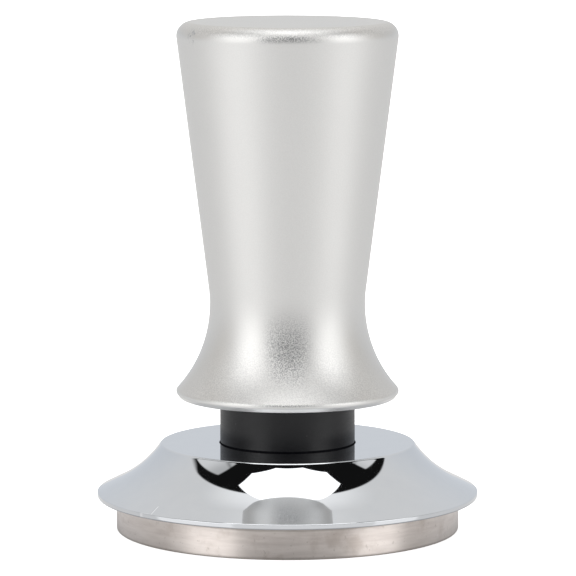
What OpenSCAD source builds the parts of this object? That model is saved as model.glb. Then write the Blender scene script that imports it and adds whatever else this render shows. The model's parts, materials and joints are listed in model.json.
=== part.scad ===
// Calibrated, self-levelling espresso tamper.
// Millimetres, +Z up. The origin is the centre of the tamping face and Z is the axis everything turns on.

/* [Tamping base] */
// diameter of the tamping disc
base_d = 58.35; // [57.8:0.05:58.6]
// height of the disc from its face to its top
base_h = 6; // [5.4:0.1:6.4]
// chamfer round the tamping face
face_chamfer = 0.3; // [0.1:0.1:0.6]

/* [Levelling flange] */
// diameter over the lip that lands on the basket rim
flange_d = 64.9; // [63.6:0.1:67]
// diameter of the flat top
flange_top_d = 43.2; // [41:0.1:45]
// height from the rim seat to the flat top
flange_h = 9.2; // [9:0.1:10]
// height of the lip's upright edge
lip_h = 0.9; // [0.8:0.1:1.2]
// slope from level of the plain cone inside the lip
lip_slope = 26.5; // [22:0.5:28]
// radius of the concave flare between that cone and the flat top
flange_flare_r = 20; // [18:0.5:24]
// how far the flange and sleeve slide up the shaft
level_travel = 4.4; // [4:0.1:4.8]

/* [Guide sleeve] */
// outside diameter of the black sleeve
sleeve_d = 22.95; // [22.8:0.05:22.95]

/* [Handle] */
// length of the handle
handle_len = 63.85; // [62:0.05:66]
// diameter at the narrowest point
waist_d = 26.4; // [26.2:0.1:27.5]
// height of the narrowest point above the handle's underside
waist_up = 16; // [15:0.25:16.5]
// radius of the concave flare below the waist
handle_flare_r = 21.6; // [20.8:0.1:23]
// angle at which each side of the grip widens upwards
grip_angle = 7.2; // [6:0.05:7.5]
// angle from upright at which the flare meets the rim
rim_angle = 41.8; // [40:0.1:44]
// rounding of the top edge
top_round = 2.4; // [1:0.1:3.5]
// rounding of the rim
rim_round = 0.7; // [0.4:0.1:0.8]
// how far the handle presses down before it stops
press_travel = 3.3; // [3:0.1:3.6]

/* [Springs] */
// wire of the calibrated spring in the handle
main_wire = 2.3; // [1.8:0.1:2.4]
// turns of the calibrated spring, ends included
main_turns = 7.5; // [5.5:0.5:7.5]
// wire of the levelling spring
level_wire = 1; // [0.7:0.1:1.2]
// turns of the levelling spring, ends included
level_turns = 7.5; // [5.5:0.5:8.5]

/* [Hidden] */
base_r = base_d / 2;
seat_z = base_h - 0.4;
recess_z = base_h + 0.2;
recess_r = base_r + 0.275;
groove_in = 26.2;
groove_out = 27.9;
groove_z = base_h - 1.3;

lip_r = flange_d / 2;
flange_top = seat_z + flange_h;
plate_z = flange_top - 3.2;
foot_z = plate_z - 2.2;
foot_r = 17;
screw_circle = 13.9;

sleeve_r = sleeve_d / 2;
sleeve_bore = 9.75;
floor_z = foot_z + 3;
floor_top = floor_z + 3;
sleeve_top = floor_top + 15.6;
ring_z = sleeve_top - 2.2;

hub_r = 8.8;
hub_top = floor_z - 0.6;
shaft_r = 5;
stud_r = 3.98;
running = 0.03;
clip_z = sleeve_top + 3.5;

// the sleeve shows by both travels and a little more, so the handle never meets the flange
travel = level_travel + press_travel;
rim_z = flange_top + travel + 0.15;
waist_z = rim_z + waist_up;
handle_top = rim_z + handle_len;
mouth_r = 12.57;
bore_r = 11.6;
thread_r = 11;
chamber_r = 10;
bush_z = sleeve_top + travel + 1.6;
shoulder_z = bush_z + 5.7;
plate_low = shoulder_z + 1.5;
plate_top = plate_low + 3;
boss_top = plate_top + 1;
seat_low = handle_top - 9.5;
chamber_top = seat_low + 1.4;

// ---- helpers ----

function unit(v) = v / norm(v);

// points on an arc round [cx, cz]
function arc(cx, cz, r, from, to, n) =
    [for (i = [0:n]) let (a = from + (to - from) * i / n) [cx + r * cos(a), cz + r * sin(a)]];

// the corner at b between a and c, rounded to radius r
function rounded(a, b, c, r, n) =
    let (u = unit(a - b),
         w = unit(c - b),
         half = acos(u * w) / 2,
         m = b + unit(u + w) * (r / sin(half)),
         s = b + u * (r / tan(half)) - m,
         e = b + w * (r / tan(half)) - m,
         from = atan2(s[1], s[0]),
         turn = (atan2(e[1], e[0]) - from + 540) % 360 - 180)
    arc(m[0], m[1], r, from, from + turn, n);

// the centre of the circle of radius r that passes through a and runs into the slope rising inwards from b
function flare_centre(a, b, slope, r) =
    let (u = [-cos(slope), sin(slope)], e = b - a + r * [sin(slope), cos(slope)], k = e * u)
    b + r * [sin(slope), cos(slope)] + u * (-k - sqrt(k * k - e * e + r * r));

// saw-tooth of thread crests going up from z0 to z1
function crests(root, crest, pitch, z0, z1) =
    [for (i = [0:floor((z1 - z0) / pitch) - 1]) each [[root, z0 + i * pitch],
                                                      [crest, z0 + (i + 0.5) * pitch]]];

module lathe(points) {
    rotate_extrude($fn = 180)
        polygon(points);
}

module washer(inner, outer, z0, z1) {
    e = min(0.15, (z1 - z0) / 4);
    lathe([[inner, z0 + e], [inner + e, z0], [outer - e, z0], [outer, z0 + e],
           [outer, z1 - e], [outer - e, z1], [inner + e, z1], [inner, z1 - e]]);
}

// height of a coil's centre line t turns up: one dead turn at each end and open turns between
function coil_z(t, turns, wire, len) =
    let (lead = wire * 1.03, open = (len - wire - 2 * lead) / (turns - 2))
    t < 1 ? wire / 2 + t * lead :
    t > turns - 1 ? len - wire / 2 - (turns - t) * lead :
    wire / 2 + lead + (t - 1) * open;

module coil(mean_r, wire, turns, z0, len) {
    per_turn = 18;
    sides = 8;
    steps = turns * per_turn;
    points = [for (i = [0:steps], j = [0:sides - 1])
        let (t = i / per_turn, a = 360 * t, b = 360 * (j + 0.5) / sides, r = mean_r + wire / 2 * cos(b))
        [r * cos(a), r * sin(a), z0 + coil_z(t, turns, wire, len) + wire / 2 * sin(b)]];
    wall = [for (i = [0:steps - 1], j = [0:sides - 1])
        let (k = (j + 1) % sides, p = i * sides, q = p + sides)
        each [[p + j, q + j, q + k], [p + j, q + k, p + k]]];
    caps = [[for (j = [0:sides - 1]) j], [for (j = [sides - 1:-1:0]) steps * sides + j]];
    polyhedron(points, concat(wall, caps), convexity = 8);
}

// ---- pieces fixed to the tamping base ----

module tamping_base() {
    hole_r = 4.05;
    hole_z = 3.6;
    color([0.63, 0.6, 0.57])
        difference() {
            lathe([[0, 0], [base_r - face_chamfer, 0], [base_r, face_chamfer],
                   [base_r, base_h - 0.25], [base_r - 0.25, base_h],
                   [groove_out, base_h], [groove_out, groove_z], [groove_in, groove_z],
                   [groove_in, base_h], [hub_r + 1, base_h], [hub_r, base_h + 1],
                   [hub_r, hub_top - 0.4], [hub_r - 0.4, hub_top],
                   [hole_r + 0.5, hub_top], [hole_r, hub_top - 0.5],
                   [hole_r, hole_z], [0, hole_z - hole_r * tan(31)]]);
            translate([hole_r - 1, 0, hub_top - 2.9])
                rotate([0, 90, 0])
                    cylinder(h = hub_r, r = 1.53, $fn = 48);
        }
}

module damper_ring() {
    color([0.08, 0.08, 0.08])
        washer(groove_in + 0.15, groove_out - 0.15, groove_z, recess_z);
}

module plunger_shaft() {
    low = 4;
    color([0.72, 0.72, 0.73])
        difference() {
            lathe(concat([[0, low], [stud_r - 0.9, low]],
                         crests(stud_r - 0.65, stud_r, 1.25, low + 0.5, hub_top - 1),
                         [[stud_r - 0.65, hub_top - 0.9], [stud_r - 0.65, hub_top],
                          [shaft_r - 0.3, hub_top], [shaft_r, hub_top + 0.3],
                          [shaft_r, clip_z - 0.02], [shaft_r - 0.5, clip_z - 0.02],
                          [shaft_r - 0.5, clip_z + 1.02], [shaft_r, clip_z + 1.02],
                          [shaft_r, plate_low - 0.3], [shaft_r - 0.3, plate_low],
                          [3, plate_low], [3, boss_top - 0.5], [2.7, boss_top - 0.2],
                          [2.3, boss_top - 0.2], [2.03, boss_top - 0.5],
                          [2.03, plate_low - 6.5], [0, plate_low - 7.7]]));
            for (side = [-1, 1])
                translate([side * (shaft_r - 0.6) - (side < 0 ? 2 : 0), -shaft_r, hub_top + 10])
                    cube([2, 2 * shaft_r, 5]);
        }
}

module base_lock_screw() {
    color([0.15, 0.15, 0.16])
        translate([0, 0, hub_top - 2.9])
            rotate([0, 90, 0])
                difference() {
                    union() {
                        translate([0, 0, 4.55])
                            cylinder(h = 3.9, r = 1.5, $fn = 48);
                        translate([0, 0, 4.15])
                            cylinder(h = 0.4, r1 = 0.9, r2 = 1.5, $fn = 48);
                    }
                    translate([0, 0, 6.9])
                        cylinder(h = 2, r = 0.87, $fn = 6);
                }
}

module shaft_circlip() {
    color([0.3, 0.3, 0.31])
        difference() {
            union() {
                translate([0, 0, clip_z])
                    cylinder(h = 1, r = 6.3, $fn = 96);
                for (a = [-24, 24])
                    rotate([0, 0, a])
                        translate([6.5, 0, clip_z])
                            cylinder(h = 1, r = 1.4, $fn = 48);
            }
            translate([0, 0, clip_z - 1])
                cylinder(h = 3, r = shaft_r - 0.48, $fn = 96);
            translate([0, -1.2, clip_z - 1])
                cube([10, 2.4, 3]);
            for (a = [-24, 24])
                rotate([0, 0, a])
                    translate([6.7, 0, clip_z - 1])
                        cylinder(h = 3, r = 0.5, $fn = 24);
        }
}

module leveller_top_washer() {
    color([0.75, 0.75, 0.76])
        washer(shaft_r + 0.15, 9.3, clip_z - 1, clip_z);
}

module leveller_spring() {
    low = floor_top + 1.01;
    color([0.7, 0.71, 0.73])
        coil(7.9, level_wire, level_turns, low, clip_z - 1.01 - low);
}

module spring_plate() {
    color([0.66, 0.66, 0.68])
        lathe([[3.02, plate_low + 0.2], [3.22, plate_low], [9.55, plate_low], [9.85, plate_low + 0.3],
               [9.85, plate_top - 0.3], [9.55, plate_top], [6.9, plate_top],
               [6.9, boss_top - 0.4], [6.5, boss_top], [3.22, boss_top], [3.02, boss_top - 0.2]]);
}

module lock_washer() {
    color([0.4, 0.4, 0.42])
        difference() {
            washer(2.1, 3.8, boss_top, boss_top + 0.9);
            translate([0, 0, boss_top])
                rotate([25, 0, 0])
                    translate([1, -0.3, -2])
                        cube([4, 0.6, 5]);
        }
}

module plunger_screw() {
    under = boss_top + 0.9;
    color([0.2, 0.2, 0.21])
        difference() {
            lathe(concat([[0, under - 9], [1.3, under - 9]],
                         crests(1.62, 2, 0.7, under - 8.6, under - 0.6),
                         [[1.62, under], [3.8, under], [3.8, under + 0.6]],
                         arc(0, under + 0.6, 3.8, 12, 32, 6),
                         [[2.6, under + 2.9], [0, under + 2.9]]));
            translate([0, 0, under + 1.2])
                cylinder(h = 3, r = 1.45, $fn = 6);
        }
}

module main_spring() {
    low = plate_top + 0.01;
    color([0.45, 0.46, 0.48])
        coil(8.4, main_wire, main_turns, low, seat_low - 0.01 - low);
}

// ---- pieces that slide with the handle but do not spin ----

module upper_spring_seat() {
    color([0.9, 0.89, 0.85])
        lathe([[3, seat_low - 1.2], [3.3, seat_low - 1.5], [6.5, seat_low - 1.5], [6.9, seat_low - 1.1],
               [6.9, seat_low], [9.5, seat_low], [9.8, seat_low + 0.3],
               [9.8, chamber_top - 0.3], [9.5, chamber_top], [3.3, chamber_top], [3, chamber_top - 0.3]]);
}

// ---- handle and the pieces that spin with it ----

module handle() {
    fx = waist_d / 2 + handle_flare_r;
    grip_low = [fx - handle_flare_r * cos(grip_angle), waist_z + handle_flare_r * sin(grip_angle)];
    flare_low = [fx - handle_flare_r * cos(rim_angle), waist_z - handle_flare_r * sin(rim_angle)];
    rim = flare_low + 0.7 * [sin(rim_angle), -cos(rim_angle)];
    under = [rim[0] - (rim[1] - rim_z) / tan(51), rim_z];
    top = [grip_low[0] + (handle_top - grip_low[1]) * tan(grip_angle), handle_top];
    color([0.79, 0.79, 0.79])
        lathe(concat([[mouth_r, rim_z + 0.3], [mouth_r + 0.3, rim_z]],
                     rounded([12, rim_z], under, rim, 0.3, 2),
                     rounded(under, rim, flare_low, rim_round, 6),
                     arc(fx, waist_z, handle_flare_r, 180 + rim_angle, 180 - grip_angle, 24),
                     rounded(grip_low, top, [0, handle_top], top_round, 10),
                     [[0, handle_top], [0, chamber_top], [chamber_r, chamber_top],
                      [chamber_r, shoulder_z], [thread_r - 0.3, shoulder_z], [thread_r, shoulder_z - 0.3],
                      [thread_r, bush_z], [bore_r, bush_z - 0.6],
                      [bore_r, rim_z + 4.4], [mouth_r, rim_z + 4.4]]));
}

module retaining_bush() {
    color([0.76, 0.63, 0.36])
        difference() {
            lathe(concat([[6.52, bush_z + 0.3], [6.82, bush_z], [10, bush_z]],
                         crests(10.35, 10.96, 1, bush_z + 0.3, shoulder_z - 0.3),
                         [[10.35, shoulder_z - 0.35], [10, shoulder_z], [6.82, shoulder_z],
                          [6.52, shoulder_z - 0.3]]));
            for (a = [0, 180])
                rotate([0, 0, a])
                    translate([8.5, 0, bush_z - 1])
                        cylinder(h = 4, r = 1.15, $fn = 36);
        }
}

module shaft_bush() {
    color([0.55, 0.42, 0.27])
        washer(shaft_r + running, 6.49, bush_z, shoulder_z);
}

module bumper_ring() {
    color([0.1, 0.1, 0.1])
        washer(7, 9.5, shoulder_z, plate_low);
}

module mouth_ring() {
    color([0.12, 0.12, 0.13])
        washer(sleeve_r + 0.06, mouth_r - 0.03, rim_z + 0.2, rim_z + 4.38);
}

// ---- leveller ----

module leveller_thrust_washer() {
    color([0.86, 0.85, 0.8])
        washer(shaft_r + 0.15, 9.6, floor_top, floor_top + 1);
}

module levelling_flange() {
    top_edge = [flange_top_d / 2, flange_top];
    lip_edge = [lip_r, seat_z + lip_h];
    c = flare_centre(top_edge, lip_edge, lip_slope, flange_flare_r);
    to = atan2(top_edge[1] - c[1], top_edge[0] - c[0]);
    flare = arc(c[0], c[1], flange_flare_r, -90 - lip_slope, to, 24);
    color([0.8, 0.81, 0.83])
        difference() {
            lathe(concat([[sleeve_r + 0.02, plate_z], [flange_top_d / 2 - 0.9, plate_z], [25.6, recess_z + 1.2],
                          [25.6, recess_z], [recess_r, recess_z], [recess_r, seat_z]],
                         rounded([recess_r, seat_z], [lip_r, seat_z], lip_edge, 0.35, 4),
                         rounded([lip_r, seat_z], lip_edge, flare[0], 0.12, 3),
                         [for (i = [0:23]) flare[i]],
                         rounded(flare[23], top_edge, [0, flange_top], 0.3, 4),
                         [[sleeve_r + 0.22, flange_top], [sleeve_r + 0.02, flange_top - 0.2]]));
            for (a = [30, 150, 270])
                rotate([0, 0, a])
                    translate([screw_circle, 0, plate_z - 1])
                        cylinder(h = 3.4, r = 1.27, $fn = 36);
        }
}

module guide_sleeve() {
    color([0.1, 0.1, 0.11])
        difference() {
            lathe([[9.4, foot_z], [foot_r - 0.2, foot_z], [foot_r, foot_z + 0.2],
                   [foot_r, plate_z], [sleeve_r, plate_z],
                   [sleeve_r, ring_z - 0.6], [10.7, ring_z - 0.6], [10.7, ring_z + 0.6],
                   [sleeve_r, ring_z + 0.6], [sleeve_r, sleeve_top - 0.4], [sleeve_r - 0.4, sleeve_top],
                   [sleeve_bore + 0.3, sleeve_top], [sleeve_bore, sleeve_top - 0.3],
                   [sleeve_bore, floor_top], [6.5, floor_top], [6.5, floor_z], [9.4, floor_z]]);
            for (a = [30, 150, 270])
                rotate([0, 0, a])
                    translate([screw_circle, 0, foot_z]) {
                        translate([0, 0, -1])
                            cylinder(h = 5, r = 1.3, $fn = 36);
                        translate([0, 0, -0.02])
                            cylinder(h = 1.3, r1 = 2.55, r2 = 1.25, $fn = 48);
                    }
        }
}

module sleeve_bush() {
    color([0.55, 0.42, 0.27])
        washer(shaft_r + running, 6.48, floor_z, floor_top);
}

module sleeve_o_ring() {
    color([0.06, 0.06, 0.06])
        rotate_extrude($fn = 144)
            translate([11.145, ring_z])
                circle(r = 0.42, $fn = 32);
}

module flange_screws() {
    color([0.2, 0.2, 0.21])
        for (a = [30, 150, 270])
            rotate([0, 0, a])
                translate([screw_circle, 0, foot_z])
                    difference() {
                        lathe([[0, 0], [2.2, 0], [2.35, 0.1], [1.22, 1.23], [1.22, 4.2],
                               [0.9, 4.5], [0, 4.5]]);
                        translate([0, 0, -1])
                            cylinder(h = 2.1, r = 0.87, $fn = 6);
                    }
}

tamping_base();
damper_ring();
plunger_shaft();
base_lock_screw();
shaft_circlip();
leveller_top_washer();
leveller_spring();
spring_plate();
lock_washer();
plunger_screw();
main_spring();
upper_spring_seat();
handle();
retaining_bush();
shaft_bush();
bumper_ring();
mouth_ring();
leveller_thrust_washer();
levelling_flange();
guide_sleeve();
sleeve_bush();
sleeve_o_ring();
flange_screws();
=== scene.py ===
"""Looks of a calibrated, self-levelling espresso tamper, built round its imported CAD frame.

The four pieces in view (handle, guide sleeve, levelling flange, tamping base) and the two springs are turned
or swept again here with finer surfaces. Every other CAD node is shown as it is, with its own node material.
"""

import json
import math

import bmesh
import bpy
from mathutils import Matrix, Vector


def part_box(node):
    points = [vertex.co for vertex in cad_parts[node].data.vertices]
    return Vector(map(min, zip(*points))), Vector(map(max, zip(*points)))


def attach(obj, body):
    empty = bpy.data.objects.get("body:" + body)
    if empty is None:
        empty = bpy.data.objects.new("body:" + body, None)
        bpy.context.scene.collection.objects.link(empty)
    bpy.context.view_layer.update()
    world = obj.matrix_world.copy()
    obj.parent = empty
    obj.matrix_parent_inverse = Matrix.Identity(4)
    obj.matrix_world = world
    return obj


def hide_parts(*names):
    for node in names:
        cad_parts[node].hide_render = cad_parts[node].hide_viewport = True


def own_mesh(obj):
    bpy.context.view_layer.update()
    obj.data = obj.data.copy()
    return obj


MM = 0.001  # metres in a millimetre
DEGREE = 180 / math.pi  # degrees in a radian
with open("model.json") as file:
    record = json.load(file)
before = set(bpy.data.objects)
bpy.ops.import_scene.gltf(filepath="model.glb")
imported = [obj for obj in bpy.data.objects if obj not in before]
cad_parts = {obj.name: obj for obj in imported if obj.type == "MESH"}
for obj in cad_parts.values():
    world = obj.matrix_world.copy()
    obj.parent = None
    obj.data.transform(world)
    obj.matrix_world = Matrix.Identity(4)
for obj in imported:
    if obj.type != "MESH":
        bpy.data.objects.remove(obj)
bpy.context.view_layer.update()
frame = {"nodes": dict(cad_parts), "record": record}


# ---------------------------------------------------------------- profiles

def unit(a, b):
    """Unit vector from a to b in the profile plane."""
    length = math.hypot(b[0] - a[0], b[1] - a[1])
    return ((b[0] - a[0]) / length, (b[1] - a[1]) / length)


def arc(centre, radius, start, end, steps):
    """Points from angle start to angle end, in degrees, round centre."""
    angles = [math.radians(start + (end - start) * i / steps) for i in range(steps + 1)]
    return [(centre[0] + radius * math.cos(a), centre[1] + radius * math.sin(a)) for a in angles]


def rounded(before, corner, after, radius, steps):
    """The corner between two neighbours, rounded to a radius."""
    u, w = unit(corner, before), unit(corner, after)
    half = math.acos(max(-1.0, min(1.0, u[0] * w[0] + u[1] * w[1]))) / 2
    middle = unit((0, 0), (u[0] + w[0], u[1] + w[1]))
    reach, cut = radius / math.sin(half), radius / math.tan(half)
    centre = (corner[0] + middle[0] * reach, corner[1] + middle[1] * reach)
    first = math.degrees(math.atan2(corner[1] + u[1] * cut - centre[1], corner[0] + u[0] * cut - centre[0]))
    last = math.degrees(math.atan2(corner[1] + w[1] * cut - centre[1], corner[0] + w[0] * cut - centre[0]))
    turn = (last - first + 540) % 360 - 180
    return arc(centre, radius, first, first + turn, steps)


def softened(profile, steps=6):
    """A closed loop from (corner, radius) pairs, each corner rounded by its own radius; 0 keeps it sharp."""
    corners = [corner for corner, _ in profile]
    out = []
    for i, (corner, radius) in enumerate(profile):
        before, after = corners[i - 1], corners[(i + 1) % len(corners)]
        out += rounded(before, corner, after, radius, steps) if radius else [corner]
    return out


def between(a, b, steps):
    """Evenly spaced points between a and b, without the two ends."""
    return [(a[0] + (b[0] - a[0]) * t / steps, a[1] + (b[1] - a[1]) * t / steps) for t in range(1, steps)]


def held(points, edge=0.04, shortest=0.5):
    """Adds a ring close to each end of every long straight run, which keeps flats flat when shaded smooth."""
    out = []
    for a, b in zip(points, points[1:] + points[:1]):
        out.append(a)
        length = math.hypot(b[0] - a[0], b[1] - a[1])
        if length > shortest and max(a[0], b[0]) > 1e-6:
            u = unit(a, b)
            out.append((a[0] + u[0] * edge, a[1] + u[1] * edge))
            out.append((b[0] - u[0] * edge, b[1] - u[1] * edge))
    return out


# ---------------------------------------------------------------- meshes

def mesh_object(name, verts, faces, sharp=35):
    """A smooth-shaded mesh object whose edges over the given angle stay sharp."""
    mesh = bpy.data.meshes.new(name)
    mesh.from_pydata([Vector(v) * MM for v in verts], [], faces)
    work = bmesh.new()
    work.from_mesh(mesh)
    bmesh.ops.recalc_face_normals(work, faces=work.faces)
    work.to_mesh(mesh)
    work.free()
    mesh.polygons.foreach_set("use_smooth", [True] * len(mesh.polygons))
    mesh.set_sharp_from_angle(angle=math.radians(sharp))
    obj = bpy.data.objects.new(name, mesh)
    bpy.context.scene.collection.objects.link(obj)
    return obj


def lathe(name, loop, segments):
    """Turns a closed loop of (radius, height) points in mm about Z."""
    verts, rings, faces = [], [], []
    turns = [2 * math.pi * i / segments for i in range(segments)]
    for r, z in loop:
        if r < 1e-6:
            rings.append([len(verts)])
            verts.append((0, 0, z))
            continue
        rings.append(list(range(len(verts), len(verts) + segments)))
        verts += [(r * math.cos(a), r * math.sin(a), z) for a in turns]
    for low, high in zip(rings, rings[1:] + rings[:1]):
        if len(low) == 1 and len(high) == 1:
            continue
        for i in range(segments):
            j = (i + 1) % segments
            corners = [low[i % len(low)], low[j % len(low)], high[j % len(high)], high[i % len(high)]]
            faces.append(list(dict.fromkeys(corners)))
    return mesh_object(name, verts, faces)


def sweep(name, path, wire, sides=14):
    """A round wire of the given thickness along a path of points in mm, closed at both ends."""
    verts, faces = [], []
    for i, p in enumerate(path):
        ahead, behind = path[min(i + 1, len(path) - 1)], path[max(i - 1, 0)]
        along = Vector(ahead) - Vector(behind)
        along.normalize()
        out = Vector((p[0], p[1], 0)).normalized()
        out = (out - along * out.dot(along)).normalized()
        side = along.cross(out)
        for j in range(sides):
            a = 2 * math.pi * j / sides
            verts.append(Vector(p) + (out * math.cos(a) + side * math.sin(a)) * wire / 2)
    for i in range(len(path) - 1):
        for j in range(sides):
            k = (j + 1) % sides
            faces.append([i * sides + j, i * sides + k, (i + 1) * sides + k, (i + 1) * sides + j])
    faces.append(list(range(sides)))
    faces.append([(len(path) - 1) * sides + j for j in reversed(range(sides))])
    return mesh_object(name, verts, faces, sharp=60)


def cut(piece, cutters):
    """Takes the cutters out of the piece and deletes them."""
    for cutter in cutters:
        change = piece.modifiers.new("cut", "BOOLEAN")
        change.operation = "DIFFERENCE"
        change.solver = "EXACT"
        change.object = cutter
        bpy.context.view_layer.objects.active = piece
        bpy.ops.object.modifier_apply(modifier=change.name)
        bpy.data.objects.remove(cutter)


# ---------------------------------------------------------------- node materials

class Graph:
    """Short calls for the nodes that the finishes and the studio share."""

    def __init__(self, tree):
        self.tree = tree
        tree.nodes.clear()

    def node(self, kind, **inputs):
        made = self.tree.nodes.new(kind)
        for key, value in inputs.items():
            self.link(value, made.inputs[key])
        return made

    def link(self, value, socket):
        """Joins a socket to the input, or sets the input to a plain value."""
        if isinstance(value, bpy.types.NodeSocket):
            self.tree.links.new(value, socket)
        else:
            socket.default_value = value

    def math(self, operation, a, b=0.0):
        made = self.tree.nodes.new("ShaderNodeMath")
        made.operation = operation
        self.link(a, made.inputs[0])
        self.link(b, made.inputs[1])
        return made.outputs[0]

    def span(self, value, low, high, start=0.0, end=1.0):
        """Maps start..end of a value to low..high, smoothly and clamped."""
        made = self.tree.nodes.new("ShaderNodeMapRange")
        made.interpolation_type = "SMOOTHSTEP"
        settings = {"Value": value, "From Min": start, "From Max": end, "To Min": low, "To Max": high}
        for key, setting in settings.items():
            self.link(setting, made.inputs[key])
        return made.outputs["Result"]

    def side(self, x, minus, plus):
        """One value where x is negative and another where it is positive."""
        soft = 0.05
        return self.span(x, minus, plus, -soft, soft)

    def patch(self, *factors):
        """The product of several factors."""
        product = factors[0]
        for factor in factors[1:]:
            product = self.math("MULTIPLY", product, factor)
        return product

    def mix(self, share, a, b):
        """Colour a where share is 0, colour b where it is 1."""
        made = self.tree.nodes.new("ShaderNodeMix")
        made.data_type = "RGBA"
        self.link(share, made.inputs[0])
        for socket, colour in ((made.inputs[6], a), (made.inputs[7], b)):
            self.link(colour if isinstance(colour, bpy.types.NodeSocket) else (*colour, 1.0), socket)
        return made.outputs[2]

    def parts(self, vector):
        """The x, y and z sockets of a vector."""
        return self.node("ShaderNodeSeparateXYZ", Vector=vector).outputs

    def bearing(self, x, front):
        """Degrees that a direction turns away from the front, from its parts across and to the front."""
        return self.math("MULTIPLY", self.math("ARCTAN2", self.math("ABSOLUTE", x), front), DEGREE)

    def height(self, z):
        """Degrees that a direction of unit length points above the horizon."""
        return self.math("MULTIPLY", self.math("ARCSINE", z), DEGREE)

    def unless_camera(self, shader, camera_shader, output):
        """Shows camera_shader to camera rays and shader to all others."""
        both = self.tree.nodes.new("ShaderNodeMixShader")
        self.link(self.node("ShaderNodeLightPath").outputs["Is Camera Ray"], both.inputs[0])
        self.link(shader.outputs[0], both.inputs[1])
        self.link(camera_shader.outputs[0], both.inputs[2])
        self.link(both.outputs[0], output.inputs["Surface"])


class Look(Graph):
    """A node material on a Principled shader."""

    def __init__(self, name, **values):
        self.material = bpy.data.materials.new(name)
        self.material.use_nodes = True
        super().__init__(self.material.node_tree)
        self.shader = self.node("ShaderNodeBsdfPrincipled")
        self.output = self.node("ShaderNodeOutputMaterial")
        self.link(self.shader.outputs[0], self.output.inputs["Surface"])
        self.place = self.node("ShaderNodeTexCoord").outputs["Object"]
        self.set(**values)

    def set(self, **values):
        for key, value in values.items():
            self.link(value, self.shader.inputs[key.replace("_", " ")])

    def noise(self, scale, detail=3.0, vector=None, roughness=0.5):
        """Noise whose scale is in features per millimetre."""
        made = self.node("ShaderNodeTexNoise", Scale=scale / MM, Detail=detail, Roughness=roughness)
        self.link(vector or self.place, made.inputs["Vector"])
        return made.outputs["Fac"]

    def blotches(self, noise, low, high):
        """A noise stretched to low..high over the middle of its spread."""
        return self.span(noise, low, high, 0.3, 0.7)

    def bump(self, height, depth):
        """Bump of a given depth in mm."""
        made = self.node("ShaderNodeBump", Strength=1.0, Distance=depth * MM, Height=height)
        self.link(made.outputs[0], self.shader.inputs["Normal"])

    def stroke(self, start, end, width):
        """1 on a straight scratch between two points of the plan, in mm, and 0 off it."""
        ahead = unit(start, end)
        length = math.dist(start, end) * MM
        x, y, _ = self.parts(self.place)
        dx = self.math("SUBTRACT", x, start[0] * MM)
        dy = self.math("SUBTRACT", y, start[1] * MM)
        x_along, y_along = self.math("MULTIPLY", dx, ahead[0]), self.math("MULTIPLY", dy, ahead[1])
        x_across, y_across = self.math("MULTIPLY", dx, ahead[1]), self.math("MULTIPLY", dy, ahead[0])
        along, across = self.math("ADD", x_along, y_along), self.math("SUBTRACT", x_across, y_across)
        return self.patch(self.span(self.math("ABSOLUTE", across), 1, 0, 0.3 * width * MM, width * MM),
                          self.span(along, 0, 1, 0, 0.2 * MM),
                          self.span(along, 1, 0, length - 0.3 * MM, length))

    def near(self, centre, core, reach):
        """1 within core of a point, fading to 0 at reach, all in mm."""
        gap = self.node("ShaderNodeVectorMath", Vector=self.place)
        gap.operation = "DISTANCE"
        gap.inputs[1].default_value = Vector(centre) * MM
        return self.span(gap.outputs["Value"], 1, 0, core * MM, reach * MM)

    def around(self):
        """(radius, angle in radians, height) of the shaded point about the tamper's axis, as sockets."""
        x, y, z = self.parts(self.place)
        radius = self.math("SQRT", self.math("ADD", self.math("MULTIPLY", x, x), self.math("MULTIPLY", y, y)))
        return radius, self.math("ARCTAN2", y, x), z

    def lathe_vector(self, along=0.0006):
        """A vector that varies across lathe lines and only slowly along them."""
        radius, angle, height = self.around()
        turned = self.node("ShaderNodeCombineXYZ", X=radius, Y=self.math("MULTIPLY", angle, along), Z=height)
        return turned.outputs[0]


def shade(look, obj):
    """Gives the object this finish and no other."""
    obj.data.materials.clear()
    obj.data.materials.append(look.material)


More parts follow.
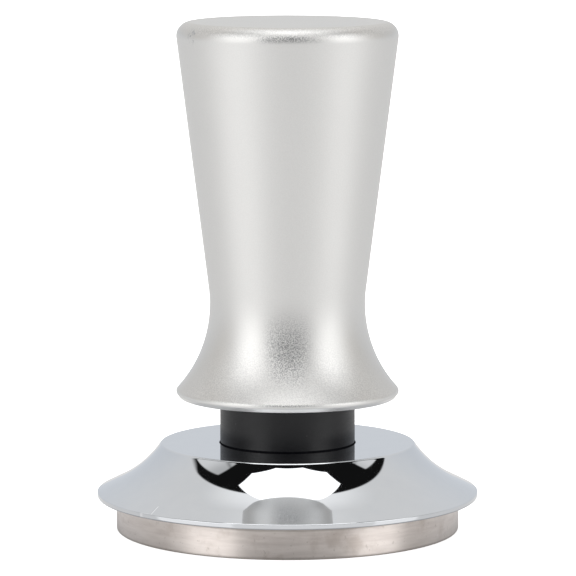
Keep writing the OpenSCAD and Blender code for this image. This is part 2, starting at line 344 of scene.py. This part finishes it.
def bead_blasted():
    """Clear-anodised aluminium: an even grain with a painted glint where its mirror direction is dark, tones
    painted by mirror direction, and a scuff.
    """
    look = Look("bead_blasted_aluminium", Metallic=1.0)
    grain = look.noise(5.5, detail=1.0)
    cloud = look.noise(0.12, detail=3.0)
    x, y, z = look.parts(look.node("ShaderNodeTexCoord").outputs["Reflection"])
    _, _, upward = look.parts(look.node("ShaderNodeNewGeometry").outputs["Normal"])
    bearing, height = look.bearing(x, look.math("MULTIPLY", y, -1.0)), look.height(z)

    # painted reflection: warmer where it mirrors the white sweep; painted shade: duller on the flat top from
    # behind; bright under the rim
    warm = look.patch(look.span(bearing, 0, 1, 70, 120), look.span(height, 0, 1, -8, 15),
                      look.span(height, 1, 0, 45, 70))
    glare = look.patch(look.span(upward, 0, 0.8, 0.9, 0.99), look.span(bearing, 1, 0, 90, 130),
                       look.span(height, 1, 0, 45, 75))
    turned = look.span(upward, 1, 0, -0.6, -0.4)
    tone = look.mix(cloud, (0.70, 0.698, 0.69), (0.725, 0.723, 0.713))
    tone = look.mix(warm, tone, (0.675, 0.655, 0.625))
    tone = look.mix(glare, tone, (0.5, 0.498, 0.49))
    tone = look.mix(turned, tone, (0.8, 0.795, 0.785))

    # painted glint: the grain glints most where it mirrors the dark room, and a little where it mirrors what
    # is higher up
    dark = look.patch(look.span(bearing, 0.95, 0, 10, 44), look.span(height, 0, 1, -12, 22),
                      look.span(height, 1, 0, 35, 72))
    rising = look.span(height, 0, 0.22, 5, 40)
    share = look.math("ADD", look.math("MAXIMUM", dark, rising), 0.04)
    glint = look.mix(look.blotches(grain, 0, 1), (0.40, 0.40, 0.41), (0.97, 0.97, 0.96))
    grain_with_painted_glint = look.mix(share, tone, glint)

    scuff = look.patch(look.near((-16.1, -9.9, 84.7), 0.4, 1.8), look.span(look.noise(2.2), 0, 1, 0.52, 0.6))
    rough = look.math("SUBTRACT", look.blotches(cloud, 0.45, 0.49), look.math("MULTIPLY", turned, 0.17))
    look.set(Base_Color=look.mix(scuff, grain_with_painted_glint, (0.45, 0.45, 0.46)), Roughness=rough)
    look.bump(grain, 0.01)
    return look


def mirror_chrome():
    """Polished chrome plate with barely visible polishing haze and two scratches near the lip."""
    look = Look("mirror_chrome", Metallic=1.0)
    haze = look.noise(0.35, detail=4.0)
    fine = look.noise(3.0, detail=2.0, vector=look.lathe_vector())
    deep = look.stroke((-22.6, -23.3), (-21.3, -21.4), 0.1)
    faint = look.patch(0.45, look.stroke((-24.5, -21.3), (-22.6, -23.1), 0.07))
    plate = look.mix(haze, (0.62, 0.64, 0.67), (0.66, 0.675, 0.695))
    rough = look.math("ADD", look.span(haze, 0.02, 0.05, 0.35, 0.75), look.span(fine, 0.0, 0.015, 0.5, 0.8))
    scratched = look.mix(look.math("MAXIMUM", deep, faint), plate, (0.92, 0.93, 0.95))
    look.set(Base_Color=scratched, Roughness=rough)
    look.bump(look.noise(0.5, detail=1.0), 0.0006)
    return look


def turned_steel():
    """Stainless steel off the lathe: fine lines, a tool step half way up, stains, and painted shade at both
    edges.
    """
    look = Look("turned_stainless", Metallic=1.0, Anisotropic=0.9, Anisotropic_Rotation=0.25)
    _, angle, height = look.around()
    lines = look.noise(16.0, detail=2.0, vector=look.lathe_vector())
    wide = look.noise(1.6, detail=2.0, vector=look.lathe_vector(0.004))
    stain = look.noise(0.2, detail=5.0, roughness=0.6)
    speck = look.noise(1.4, detail=3.0)
    step_z, lip_z, lowering = 2.5 * MM, 5.2 * MM, 0.6 * MM

    steel = look.mix(look.blotches(wide, 0, 1), (0.71, 0.648, 0.612), (0.79, 0.727, 0.69))
    below_step = look.span(height, 0.3, 0, step_z - 0.1 * MM, step_z + 0.1 * MM)
    steel = look.mix(below_step, steel, (0.85, 0.79, 0.755))
    steel = look.mix(look.span(stain, 0.0, 0.45, 0.5, 0.72), steel, (0.5, 0.43, 0.38))
    steel = look.mix(look.span(speck, 0.0, 0.35, 0.64, 0.72), steel, (0.42, 0.37, 0.33))

    # painted shade under the lip, lower down at the front and back, where the lip hides the top of it; and
    # painted shade at the foot
    lowered = look.math("MULTIPLY", look.math("ABSOLUTE", look.math("SINE", angle)), lowering)
    painted_shade_under_lip = look.span(look.math("ADD", height, lowered), 0, 0.7, lip_z, lip_z + 0.35 * MM)
    foot = look.span(height, 0.6, 0, 0.2 * MM, 0.6 * MM)
    look.set(Base_Color=look.mix(look.math("MAXIMUM", painted_shade_under_lip, foot), steel, (0.4, 0.36, 0.33)),
             Roughness=look.blotches(lines, 0.3, 0.41))
    tangent = look.node("ShaderNodeTangent")
    tangent.direction_type, tangent.axis = "RADIAL", "Z"
    look.set(Tangent=tangent.outputs[0])
    look.bump(lines, 0.0035)
    return look


def black_anodised():
    """Satin black anodising on a turned tube, with no sheen in a thin band above the flange, painted shade on
    its sides near the flange, and a little dust.
    """
    look = Look("black_anodised", Metallic=0.0)
    _, angle, height = look.around()
    lines = look.noise(9.0, detail=2.0, vector=look.lathe_vector())
    grain = look.noise(7.0, detail=2.0)
    dust = look.span(look.noise(2.6, detail=1.0), 0, 0.5, 0.8, 0.84)
    flange_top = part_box("levelling_flange")[1].z
    # no sheen in a thin band just above the flange's top
    away_from_corner = look.span(height, 0, 1, flange_top + 0.16 * MM, flange_top + 0.24 * MM)
    # painted shade: less sheen on both sides near the flange, where its flat top hides the light
    flank = look.span(look.math("ABSOLUTE", look.math("COSINE", angle)), 0, 0.5, 0.3, 0.75)
    foot = look.span(height, 1, 0, flange_top + 1.2 * MM, flange_top + 3.2 * MM)
    lit = look.math("SUBTRACT", 1.0, look.math("MULTIPLY", flank, foot))
    black = look.mix(grain, (0.005, 0.005, 0.006), (0.010, 0.0105, 0.0135))
    look.set(Base_Color=look.mix(dust, black, (0.3, 0.3, 0.32)), Roughness=look.blotches(lines, 0.36, 0.43),
             Specular_IOR_Level=look.patch(0.38, away_from_corner, lit))
    look.bump(lines, 0.001)
    return look


def machined(name, low, high, rough, grain=8.0):
    """A machined metal between two tones, with lathe lines and blotches."""
    look = Look(name, Metallic=1.0)
    lines = look.noise(grain, detail=2.0, vector=look.lathe_vector())
    look.set(Base_Color=look.mix(look.noise(0.4, detail=4.0), low, high),
             Roughness=look.blotches(lines, rough - 0.07, rough + 0.07))
    look.bump(lines, 0.002)
    return look


def moulded(name, low, high, rough):
    """A moulded plastic or rubber with a fine matt grain."""
    look = Look(name, Metallic=0.0)
    grain = look.noise(6.0, detail=3.0)
    look.set(Base_Color=look.mix(grain, low, high),
             Roughness=look.blotches(grain, rough - 0.06, rough + 0.06))
    look.bump(grain, 0.006)
    return look


# ---------------------------------------------------------------- pieces in view

def extent(node):
    """Lowest and highest corner of a CAD node, in mm."""
    return [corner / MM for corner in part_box(node)]


def foot_of(node):
    """Height of a CAD node's lowest point, in mm."""
    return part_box(node)[0].z / MM


def top_of(node):
    """Height of a CAD node's highest point, in mm."""
    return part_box(node)[1].z / MM


def show_for(node, obj, body, look):
    """Shows the object instead of the CAD node, on that node's body and in its finish."""
    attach(obj, body)
    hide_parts(node)
    shade(look, obj)


def build_handle():
    """Grip that narrows to a waist, a concave flare and a thin chamfered rim, bored from beneath."""
    low, high = extent("handle")
    rim_z, top_z = low.z, high.z
    waist_r, waist_z, flare_r = 13.2, rim_z + 16, 21.6
    grip_slope, rim_slope, chamfer_slope = 7.2, 41.8, 51
    rim_width, rim_round, under_round, top_round, edge = 0.7, 0.7, 0.3, 2.4, 0.3
    mouth_r, bore_r, thread_r, chamber_r = 12.57, 11.6, 11.0, 10.0
    mouth_top, thread_lead, above_seat = rim_z + 4.4, 0.6, 0.02

    # the flare's arc runs into the straight grip above and ends at the rim below
    centre_r = waist_r + flare_r
    grip, lean, chamfer = math.radians(grip_slope), math.radians(rim_slope), math.radians(chamfer_slope)
    grip_low = (centre_r - flare_r * math.cos(grip), waist_z + flare_r * math.sin(grip))
    flare_low = (centre_r - flare_r * math.cos(lean), waist_z - flare_r * math.sin(lean))
    rim = (flare_low[0] + rim_width * math.sin(lean), flare_low[1] - rim_width * math.cos(lean))
    under = (rim[0] - (rim[1] - rim_z) / math.tan(chamfer), rim_z)
    top = (grip_low[0] + (top_z - grip_low[1]) * math.tan(grip), top_z)
    loop = [(mouth_r, rim_z + edge), (mouth_r + edge, rim_z)]
    loop += rounded((mouth_r, rim_z), under, rim, under_round, 4)
    loop += rounded(under, rim, flare_low, rim_round, 10)
    loop += arc((centre_r, waist_z), flare_r, 180 + rim_slope, 180 - grip_slope, 64)
    loop += between(grip_low, top, 8)
    loop += rounded(grip_low, top, (0, top_z), top_round, 20)

    # inside, from the spring chamber's ceiling down; the small gap keeps the ceiling off the pressed seat
    ceiling = top_of("upper_spring_seat") + above_seat
    shoulder, thread_foot = top_of("retaining_bush"), foot_of("retaining_bush")
    loop += [(0, top_z), (0, ceiling), (chamber_r, ceiling), (chamber_r, shoulder)]
    loop += [(thread_r - edge, shoulder), (thread_r, shoulder - edge), (thread_r, thread_foot)]
    loop += [(bore_r, thread_foot - thread_lead), (bore_r, mouth_top), (mouth_r, mouth_top)]
    handle = lathe("handle_body", held(loop), 320)
    show_for("handle", handle, "handle_unit", bead_blasted())


def flare_centre(top_edge, lip_edge, slope, radius):
    """Centre of the arc through top_edge that runs into a slope, in degrees, rising inwards from lip_edge."""
    s = math.radians(slope)
    inwards, lift = (-math.cos(s), math.sin(s)), (radius * math.sin(s), radius * math.cos(s))
    gap = (lip_edge[0] - top_edge[0] + lift[0], lip_edge[1] - top_edge[1] + lift[1])
    along = gap[0] * inwards[0] + gap[1] * inwards[1]
    run = -along - math.sqrt(along ** 2 - gap[0] ** 2 - gap[1] ** 2 + radius ** 2)
    return (lip_edge[0] + lift[0] + inwards[0] * run, lip_edge[1] + lift[1] + inwards[1] * run)


def build_flange():
    """Mirror flange: flat top, concave flare, upright lip with an edge break, and a hollow for the base."""
    low, high = extent("levelling_flange")
    lip_r, seat_z, top_z = high.x, low.z, high.z
    lip_h, lip_slope, flare_r, top_r, bore_r = 0.9, 26.5, 20.0, 21.6, 11.495
    plate_z, recess_z, recess_r = top_z - 3.2, seat_z + 0.6, 29.45
    plate_r, hollow_r, hollow_z = top_r - 0.9, 25.6, recess_z + 1.2
    seat_round, break_round, top_round, edge = 0.35, 0.1, 0.5, 0.2
    break_below, break_in, break_above = 0.035, 0.081, 0.04
    screw_hole = ((1.27, -1.0), (1.27, 2.4))

    lip_edge, top_edge = (lip_r, seat_z + lip_h), (top_r, top_z)
    break_low = (lip_r, lip_edge[1] - break_below)
    break_high = (lip_r - break_in, lip_edge[1] + break_above)
    centre = flare_centre(top_edge, lip_edge, lip_slope, flare_r)
    end = math.degrees(math.atan2(top_z - centre[1], top_r - centre[0]))
    flare = arc(centre, flare_r, -90 - lip_slope, end, 96)[1:-4]  # both ends make room for the roundings
    loop = [(bore_r, plate_z), (plate_r, plate_z), (hollow_r, hollow_z), (hollow_r, recess_z)]
    loop += [(recess_r, recess_z), (recess_r, seat_z)]
    loop += rounded((recess_r, seat_z), (lip_r, seat_z), lip_edge, seat_round, 8)
    loop += rounded((lip_r, seat_z), break_low, break_high, break_round, 5)
    loop += rounded(break_low, break_high, flare[0], break_round, 5)
    loop += flare
    loop += rounded(flare[-1], top_edge, (0, top_z), top_round, 10)
    loop += [(bore_r + edge, top_z), (bore_r, top_z - edge)]
    flange = lathe("flange_shell", held(loop), 384)
    cut(flange, screw_cutters(plate_z, screw_hole))
    show_for("levelling_flange", flange, "leveller_unit", mirror_chrome())


def screw_cutters(z0, profile):
    """Round cutters at the three flange screws; profile is (radius, height above z0) from bottom to top."""
    screw_circle_r = 13.9
    out = []
    for angle in (30, 150, 270):
        a = math.radians(angle)
        loop = [(0, z0 + profile[0][1])] + [(r, z0 + h) for r, h in profile] + [(0, z0 + profile[-1][1])]
        cutter = lathe("cutter", loop, 48)
        cutter.location = Vector((math.cos(a), math.sin(a), 0)) * screw_circle_r * MM
        out.append(cutter)
    return out


def build_sleeve():
    """Black guide sleeve with a screwed foot below the flange's plate and a groove for its O-ring."""
    low, high = extent("guide_sleeve")
    foot_z, foot_r, top_z = low.z, high.x, high.z
    plate_z, floor_z, floor_top = foot_z + 2.2, foot_z + 3.0, foot_z + 6.0
    sleeve_r, bore_r, foot_bore_r, bush_r = 11.475, 9.75, 9.4, 6.5
    groove_r, groove_low, groove_high = 10.7, top_z - 2.8, top_z - 1.6
    countersunk_hole = ((2.55, -0.02), (1.3, 1.23), (1.3, 4.0))
    profile = [
        ((foot_bore_r, foot_z), 0.1), ((foot_r, foot_z), 0.2), ((foot_r, plate_z), 0.15),
        ((sleeve_r, plate_z), 0), ((sleeve_r, groove_low), 0.1), ((groove_r, groove_low), 0),
        ((groove_r, groove_high), 0), ((sleeve_r, groove_high), 0.1), ((sleeve_r, top_z), 0.4),
        ((bore_r, top_z), 0.3), ((bore_r, floor_top), 0), ((bush_r, floor_top), 0.1),
        ((bush_r, floor_z), 0.1), ((foot_bore_r, floor_z), 0),
    ]
    sleeve = lathe("guide_sleeve_tube", held(softened(profile)), 256)
    cut(sleeve, screw_cutters(foot_z, countersunk_hole))
    show_for("guide_sleeve", sleeve, "leveller_unit", black_anodised())


def build_base():
    """Tamping disc with a damper groove, a tapped hub and a cross hole for the lock screw."""
    low, high = extent("tamping_base")
    disc_r, hub_top = high.x, high.z
    damper_stands_out = 0.2
    disc_top = top_of("damper_ring") - damper_stands_out
    groove_out, groove_in, groove_z = 27.9, 26.2, disc_top - 1.3
    hub_r, hole_r, hole_z, drill_slope = 8.8, 4.05, 3.6, math.radians(31)
    lock_hole_r, lock_hole_start, lock_hole_end, lock_hole_z = 1.53, 3.05, 12, hub_top - 2.9
    profile = [
        ((0, low.z), 0), ((disc_r, low.z), 0.3), ((disc_r, disc_top), 0.25), ((groove_out, disc_top), 0.1),
        ((groove_out, groove_z), 0), ((groove_in, groove_z), 0), ((groove_in, disc_top), 0.1),
        ((hub_r, disc_top), 1.0), ((hub_r, hub_top), 0.4), ((hole_r, hub_top), 0.4),
        ((hole_r, hole_z), 0), ((0, hole_z - hole_r * math.tan(drill_slope)), 0),
    ]
    disc = lathe("tamping_disc", held(softened(profile)), 384)
    drill = lathe("cutter", [(0, lock_hole_start), (lock_hole_r, lock_hole_start),
                             (lock_hole_r, lock_hole_end), (0, lock_hole_end)], 48)
    drill.rotation_euler = (0, math.pi / 2, 0)
    drill.location = (0, 0, lock_hole_z * MM)
    cut(disc, [drill])
    show_for("tamping_base", disc, "base_unit", turned_steel())


def build_spring(node, look, mean_r, wire, turns):
    """A coil with one dead turn at each end."""
    past_end = 0.04 * wire
    bottom, top = foot_of(node) - past_end, top_of(node) + past_end
    length, lead, steps = top - bottom, wire * 1.03, 48
    open_pitch = (length - wire - 2 * lead) / (turns - 2)
    path = []
    for i in range(int(turns * steps) + 1):
        t = i / steps
        z = wire / 2 + (t * lead if t < 1 else lead + (min(t, turns - 1) - 1) * open_pitch)
        z += max(0.0, t - (turns - 1)) * lead
        a = 2 * math.pi * t
        path.append((mean_r * math.cos(a), mean_r * math.sin(a), bottom + z))
    spring = sweep(node + "_wire", path, wire)
    show_for(node, spring, "base_unit", look)
    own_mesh(spring)


# ---------------------------------------------------------------- studio

class Tent(Graph):
    """The studio as light by direction: x across, -y to the front, z up. Bearings start at the front."""

    def __init__(self, tree):
        super().__init__(tree)
        self.x, self.y, self.z = self.parts(self.node("ShaderNodeTexCoord").outputs["Generated"])
        self.turn = self.bearing(self.x, self.math("MULTIPLY", self.y, -1.0))
        self.rise = self.height(self.z)
        up = self.math("MAXIMUM", self.z, 0.01)
        self.plan_x, self.plan_y = self.math("DIVIDE", self.x, up), self.math("DIVIDE", self.y, up)
        self.panel = self.side_panels()
        box_inner = self.math("SUBTRACT", self.side(self.x, 37.2, 46.2), self.span(self.rise, 0, 5.8, 5, 25))
        self.past_inner = self.math("SUBTRACT", self.turn, box_inner)
        self.past_outer = self.math("SUBTRACT", self.turn, self.side(self.x, 71.6, 79.8))
        self.behind = self.sweep_depth()

    def side_panels(self):
        """Plan of everything at the sides: a gap overhead down the middle, and a slanted edge at the back."""
        soft = 0.02
        past = self.math("SUBTRACT", self.math("ABSOLUTE", self.plan_x), self.side(self.x, 0.69, 0.89))
        slant = self.math("ADD", self.math("MULTIPLY", past, 0.5), self.side(self.x, 0.02, 0.08))
        return self.patch(self.span(past, 0, 1, -soft, soft),
                          self.span(self.math("SUBTRACT", slant, self.plan_y), 0, 1, -soft, soft))

    def sweep_depth(self):
        """How far a direction lies behind the white sweep's front edge, which bends back at the sides."""
        bend = self.math("MULTIPLY", self.math("MULTIPLY", self.x, self.x), 0.33)
        return self.math("SUBTRACT", self.y, self.math("ADD", bend, self.side(self.x, 0.0, 0.018)))

    def dim_front(self):
        """The dark room behind the camera, with a bright strip high above it."""
        room = self.patch(self.span(self.turn, 0.26, 0.29, 0, 34), self.span(self.past_inner, 1, 0, -2, 2),
                          self.panel)
        strip = self.patch(1.8, self.span(self.rise, 0, 1, 39, 46), self.span(self.rise, 1, 0, 50, 54),
                           self.span(self.turn, 1, 0, 40, 60))
        return self.math("ADD", room, strip)

    def softboxes(self):
        """The two bright boxes at the sides of the dark room, dimmer above 43 degrees."""
        lower, upper = self.span(self.rise, 2.1, 2.4, 0, 42), self.span(self.rise, 0, -1.75, 43, 50)
        return self.patch(self.math("ADD", lower, upper), self.span(self.past_inner, 0, 1, -1.5, 1.5),
                          self.span(self.past_outer, 1, 0, -5, 5), self.panel)

    def side_walls(self):
        """The pale walls past the softboxes."""
        lower, upper = self.span(self.rise, 0.57, 0.9, 25, 40), self.span(self.rise, 0, -0.3, 42, 54)
        return self.patch(self.math("ADD", lower, upper), self.span(self.past_outer, 0, 1, -5, 5), self.panel)

    def white_sweep(self):
        """The backdrop, whose front edge is sharp except at its left tip, where it fades."""
        lower, upper = self.span(self.rise, 0.79, 0.87, 5, 35), self.span(self.rise, 0, 0.33, 54, 76)
        fade_start = self.math("SUBTRACT", 0.07, self.span(self.x, 0.07, 0, -0.76, -0.64))
        return self.patch(self.math("ADD", lower, upper), self.span(self.behind, 0, 1, fade_start, 0.1))

    def overhead(self):
        """An eight-sided softbox straight above."""
        centre_x, centre_y, half_x, half_y, strength = 0.024, -0.15, 0.416, 0.36, 2.2
        across = self.math("ABSOLUTE", self.math("SUBTRACT", self.plan_x, centre_x))
        along = self.math("ABSOLUTE", self.math("ADD", self.plan_y, -centre_y))
        u, v = self.math("DIVIDE", across, half_x), self.math("DIVIDE", along, half_y)
        diagonal = self.math("MULTIPLY", self.math("ADD", u, v), math.sqrt(0.5))
        reach = self.math("MAXIMUM", self.math("MAXIMUM", u, v), diagonal)
        return self.patch(strength, self.span(reach, 1, 0, 0.96, 0.99), self.span(self.z, 0, 1, 0, 0.1))

    def tint(self):
        """Faintly warm, and bluish low down on the white sweep."""
        blue = self.patch(self.span(self.behind, 0, 1, 0.0, 0.2), self.span(self.rise, 1, 0, 0, 50))
        return self.mix(blue, (1.0, 0.995, 0.985), (0.905, 0.945, 1.0))


def build_world():
    """A light tent that only reflections see; the camera sees plain white."""
    world = bpy.data.worlds.new("studio_tent")
    bpy.context.scene.world = world
    world.use_nodes = True
    tent = Tent(world.node_tree)
    light = 0.008
    for part in (tent.dim_front(), tent.softboxes(), tent.side_walls(), tent.white_sweep(), tent.overhead()):
        light = tent.math("MAXIMUM", part, light)
    studio = tent.node("ShaderNodeBackground", Color=tent.tint(), Strength=light)
    plain = tent.node("ShaderNodeBackground", Color=(1.0, 1.0, 1.0, 1.0), Strength=1.0)
    tent.unless_camera(studio, plain, tent.node("ShaderNodeOutputWorld"))


def build_floor():
    """White paper to the camera. Reflections see a painted glow on it instead: a painted sheen, brightest at
    the sides, and a painted contact shadow that dims it close to the tamper.
    """
    half, level = 6.0, -0.02 * MM
    mesh = bpy.data.meshes.new("floor")
    corners = [(-half, -half, level), (half, -half, level), (half, half, level), (-half, half, level)]
    mesh.from_pydata(corners, [], [(0, 1, 2, 3)])
    floor = bpy.data.objects.new("floor", mesh)
    bpy.context.scene.collection.objects.link(floor)

    look = Look("pale_floor", Base_Color=(0.85, 0.85, 0.85, 1.0), Roughness=0.9, Specular_IOR_Level=0.1)
    look.set(Emission_Color=(1.0, 1.0, 1.0, 1.0), Emission_Strength=0.75)
    x, y, _ = look.parts(look.node("ShaderNodeNewGeometry").outputs["Incoming"])
    radius, _, _ = look.around()
    bearing = look.bearing(x, y)
    # painted sheen and painted contact shadow, seen only in reflections
    past_edge = look.math("SUBTRACT", bearing, look.side(x, 51.9, 31))
    sheen = look.math("ADD", look.span(past_edge, 0.93, 1.17, 0, 4), look.span(bearing, 0, -0.35, 82, 87))
    contact_shadow = look.span(radius, 0.45, 1, 29 * MM, 45 * MM)
    glow = look.patch(sheen, contact_shadow)
    paper = look.node("ShaderNodeEmission", Color=(1.0, 0.995, 0.99, 1.0), Strength=glow)
    look.unless_camera(paper, look.shader, look.output)
    shade(look, floor)


def build_camera():
    """A long lens, slightly above the tamper, as the photograph was taken."""
    distance, height, pitch = 679.3, 130.3, 7.47
    data = bpy.data.cameras.new("camera")
    data.lens, data.sensor_width, data.shift_x = 252.2, 36.0, 0.000868
    data.clip_start, data.clip_end = 0.01, 50.0
    camera = bpy.data.objects.new("camera", data)
    bpy.context.scene.collection.objects.link(camera)
    camera.location = (0, -distance * MM, height * MM)
    camera.rotation_euler = (math.radians(90 - pitch), 0, 0)
    bpy.context.scene.camera = camera


def cad_looks():
    """A finish for each material slot of the pieces that stay as the CAD made them."""
    return {
        "ground_steel": machined("ground_steel", (0.56, 0.56, 0.57), (0.66, 0.66, 0.67), 0.25, 12.0),
        "spring_steel": machined("spring_steel", (0.26, 0.265, 0.28), (0.36, 0.365, 0.38), 0.32, 5.0),
        "black_oxide_steel": machined("black_oxide", (0.035, 0.035, 0.037), (0.07, 0.07, 0.073), 0.42),
        "brass": machined("machined_brass", (0.62, 0.46, 0.2), (0.72, 0.56, 0.27), 0.28),
        "bearing_bronze": machined("sintered_bronze", (0.36, 0.22, 0.11), (0.48, 0.31, 0.17), 0.5, 4.0),
        "black_rubber": moulded("black_rubber", (0.014, 0.014, 0.014), (0.03, 0.03, 0.03), 0.75),
        "black_acetal": moulded("black_acetal", (0.02, 0.02, 0.021), (0.034, 0.034, 0.035), 0.42),
        "white_acetal": moulded("white_acetal", (0.68, 0.67, 0.62), (0.78, 0.77, 0.73), 0.4),
    }


def dress_cad_nodes(looks):
    """Puts a finish on every CAD node that is still shown."""
    for part in frame["record"]["subparts"]:
        node = frame["nodes"][part["node"]]
        if part["material_slot"] in looks and not node.hide_render:
            shade(looks[part["material_slot"]], node)


build_handle()
build_flange()
build_sleeve()
build_base()
looks = cad_looks()
build_spring("main_spring", looks["spring_steel"], 8.4, 2.3, 7.5)
build_spring("leveller_spring", looks["spring_steel"], 7.9, 1.0, 7.5)
dress_cad_nodes(looks)
build_world()
build_floor()
build_camera()
bpy.context.scene.view_settings.view_transform = "Standard"
